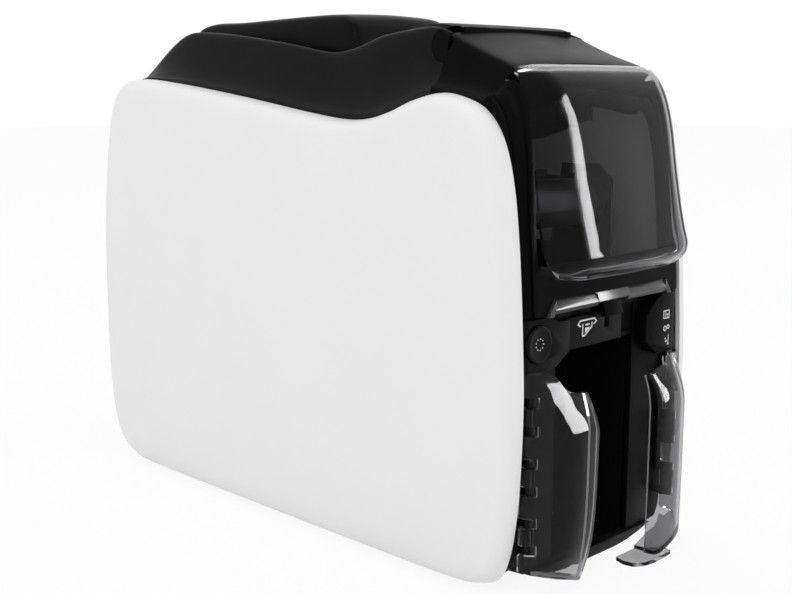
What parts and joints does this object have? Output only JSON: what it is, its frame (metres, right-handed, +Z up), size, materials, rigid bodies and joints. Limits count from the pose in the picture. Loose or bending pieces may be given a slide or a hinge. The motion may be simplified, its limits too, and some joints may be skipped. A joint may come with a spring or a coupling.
{
  "type": "id card printer",
  "caption": "Desktop card printer with white side panels, hinged clear-windowed cover, hopper lid, clear output doors and full print mechanism.",
  "frame": {"origin": "middle of the footprint, on the surface the printer stands on", "axes": "+X to the right when facing the front, +Y towards the rear, +Z up"},
  "size_m": [0.148, 0.3484, 0.271],
  "materials": {
    "white_panel": "satin",
    "black_body": "satin",
    "black_gloss": "gloss",
    "lid_black": "satin",
    "dark_inner": "matt",
    "panel_black": "satin",
    "smoked_clear": "clear smoked plastic",
    "grip_grey": "satin",
    "feet_rubber": "matt",
    "roller_rubber": "matt",
    "gear_cream": "satin",
    "bush_brass": "satin",
    "steel": "satin",
    "heatsink": "satin",
    "head_ceramic": "satin",
    "ribbon_dark": "gloss",
    "motor_black": "satin",
    "board_green": "satin"
  },
  "bodies": {
    "chassis": {"left_side_panel": "white_panel", "right_side_panel": "white_panel", "hopper_housing": "black_body", "hopper_well": "dark_inner", "rear_panel": "black_body", "base_frame": "black_body", "rubber_feet": "feet_rubber", "front_bezel": "black_body", "output_bay": "dark_inner", "card_slot_plate": "dark_inner", "left_control_panel": "panel_black", "right_status_panel": "panel_black", "button_board": "board_green", "cover_hinge_pins": "steel", "hopper_lid_pins": "steel", "door_hinge_pins": "steel", "left_mechanism_plate": "steel", "right_mechanism_plate": "steel", "card_guides": "dark_inner", "roller_bushes": "bush_brass", "drive_motor": "motor_black", "ribbon_belt": "roller_rubber", "ribbon_frame": "grip_grey", "main_board": "board_green", "rear_sockets": "steel", "case_screws": "steel"},
    "cover": {"cover_shell": "black_gloss", "cover_window": "smoked_clear", "cover_grip": "grip_grey"},
    "cover_latch": {"cover_latch": "grip_grey"},
    "hopper_lid": {"hopper_lid": "lid_black"},
    "card_weight": {"card_weight": "grip_grey"},
    "left_output_door": {"left_output_door": "smoked_clear"},
    "right_output_door": {"right_output_door": "smoked_clear"},
    "power_button": {"power_button": "panel_black"},
    "printhead": {"printhead_bracket": "steel", "printhead_heatsink": "heatsink", "thermal_printhead": "head_ceramic"},
    "platen": {"platen_roller": "roller_rubber", "platen_shaft": "steel", "platen_gear": "gear_cream"},
    "exit_drive": {"exit_roller": "roller_rubber", "exit_shaft": "steel", "exit_gear": "gear_cream"},
    "feed_drive": {"feed_roller": "roller_rubber", "feed_shaft": "steel", "feed_gear": "gear_cream"},
    "pick_drive": {"pick_roller": "roller_rubber", "pick_shaft": "steel", "pick_gear": "gear_cream"},
    "front_idler": {"front_idler_gear": "gear_cream"},
    "middle_idler": {"middle_idler_gear": "gear_cream"},
    "rear_idler": {"rear_idler_gear": "gear_cream"},
    "motor_pinion": {"motor_pinion": "bush_brass"},
    "exit_pinch": {"exit_pinch_roller": "roller_rubber"},
    "feed_pinch": {"feed_pinch_roller": "roller_rubber"},
    "supply_spool": {"supply_spool": "ribbon_dark"},
    "takeup_spool": {"takeup_spool": "ribbon_dark", "takeup_pulley": "gear_cream"}
  },
  "joints": [
    {"name": "cover_hinge", "type": "hinge", "parent": "chassis", "child": "cover", "pos_m": [0, -0.097, 0.2525], "axis": [-1, 0, 0], "range_deg": [0, 75]},
    {"name": "cover_latch_pivot", "type": "hinge", "parent": "cover", "child": "cover_latch", "pos_m": [0, -0.1536, 0.137], "axis": [1, 0, 0], "range_deg": [0, 6], "stiffness_Nm_per_rad": 0.02},
    {"name": "hopper_lid_hinge", "type": "hinge", "parent": "chassis", "child": "hopper_lid", "pos_m": [0, 0.1182, 0.257], "axis": [-1, 0, 0], "range_deg": [0, 108]},
    {"name": "card_weight_slide", "type": "slide", "parent": "chassis", "child": "card_weight", "axis": [0, 0, 1], "range_m": [0, 0.1]},
    {"name": "left_door_hinge", "type": "hinge", "parent": "chassis", "child": "left_output_door", "pos_m": [-0.0584, -0.1548, 0.056], "axis": [0, 0, -1], "range_deg": [0, 75]},
    {"name": "right_door_hinge", "type": "hinge", "parent": "chassis", "child": "right_output_door", "pos_m": [0.0584, -0.1548, 0.056], "axis": [0, 0, 1], "range_deg": [0, 75]},
    {"name": "power_button_press", "type": "slide", "parent": "chassis", "child": "power_button", "axis": [0, 1, 0], "range_m": [0, 0.0014], "stiffness_N_per_m": 300},
    {"name": "printhead_lift", "type": "hinge", "parent": "chassis", "child": "printhead", "pos_m": [0, -0.084, 0.136], "axis": [1, 0, 0], "range_deg": [0, 6]},
    {"name": "platen_spin", "type": "hinge", "parent": "chassis", "child": "platen", "pos_m": [0, -0.06, 0.104], "axis": [1, 0, 0], "continuous": true},
    {"name": "exit_spin", "type": "hinge", "parent": "chassis", "child": "exit_drive", "pos_m": [0, -0.1, 0.104], "axis": [1, 0, 0], "continuous": true},
    {"name": "feed_spin", "type": "hinge", "parent": "chassis", "child": "feed_drive", "pos_m": [0, -0.02, 0.104], "axis": [1, 0, 0], "continuous": true},
    {"name": "pick_spin", "type": "hinge", "parent": "chassis", "child": "pick_drive", "pos_m": [0, 0.02, 0.104], "axis": [1, 0, 0], "continuous": true},
    {"name": "front_idler_spin", "type": "hinge", "parent": "chassis", "child": "front_idler", "pos_m": [0, -0.08, 0.104], "axis": [1, 0, 0], "continuous": true},
    {"name": "middle_idler_spin", "type": "hinge", "parent": "chassis", "child": "middle_idler", "pos_m": [0, -0.04, 0.104], "axis": [1, 0, 0], "continuous": true},
    {"name": "rear_idler_spin", "type": "hinge", "parent": "chassis", "child": "rear_idler", "pos_m": [0, 0, 0.104], "axis": [1, 0, 0], "continuous": true},
    {"name": "motor_spin", "type": "hinge", "parent": "chassis", "child": "motor_pinion", "pos_m": [0, -0.04, 0.086], "axis": [1, 0, 0], "continuous": true},
    {"name": "exit_pinch_spin", "type": "hinge", "parent": "chassis", "child": "exit_pinch", "pos_m": [0, -0.1, 0.1164], "axis": [1, 0, 0], "continuous": true},
    {"name": "feed_pinch_spin", "type": "hinge", "parent": "chassis", "child": "feed_pinch", "pos_m": [0, -0.02, 0.1164], "axis": [1, 0, 0], "continuous": true},
    {"name": "supply_spin", "type": "hinge", "parent": "chassis", "child": "supply_spool", "pos_m": [0, -0.034, 0.182], "axis": [1, 0, 0], "continuous": true},
    {"name": "takeup_spin", "type": "hinge", "parent": "chassis", "child": "takeup_spool", "pos_m": [0, -0.114, 0.176], "axis": [1, 0, 0], "continuous": true}
  ],
  "couplings": [
    {"joint": "exit_spin", "follows": "platen_spin", "ratio": 1},
    {"joint": "feed_spin", "follows": "platen_spin", "ratio": 1},
    {"joint": "pick_spin", "follows": "platen_spin", "ratio": 1},
    {"joint": "front_idler_spin", "follows": "platen_spin", "ratio": -0.66667},
    {"joint": "middle_idler_spin", "follows": "platen_spin", "ratio": -0.66667},
    {"joint": "rear_idler_spin", "follows": "platen_spin", "ratio": -0.66667},
    {"joint": "motor_spin", "follows": "platen_spin", "ratio": 1.3333},
    {"joint": "exit_pinch_spin", "follows": "platen_spin", "ratio": -1.2},
    {"joint": "feed_pinch_spin", "follows": "platen_spin", "ratio": -1.2},
    {"joint": "supply_spin", "follows": "platen_spin", "ratio": 0.64},
    {"joint": "takeup_spin", "follows": "platen_spin", "ratio": 0.8}
  ]
}
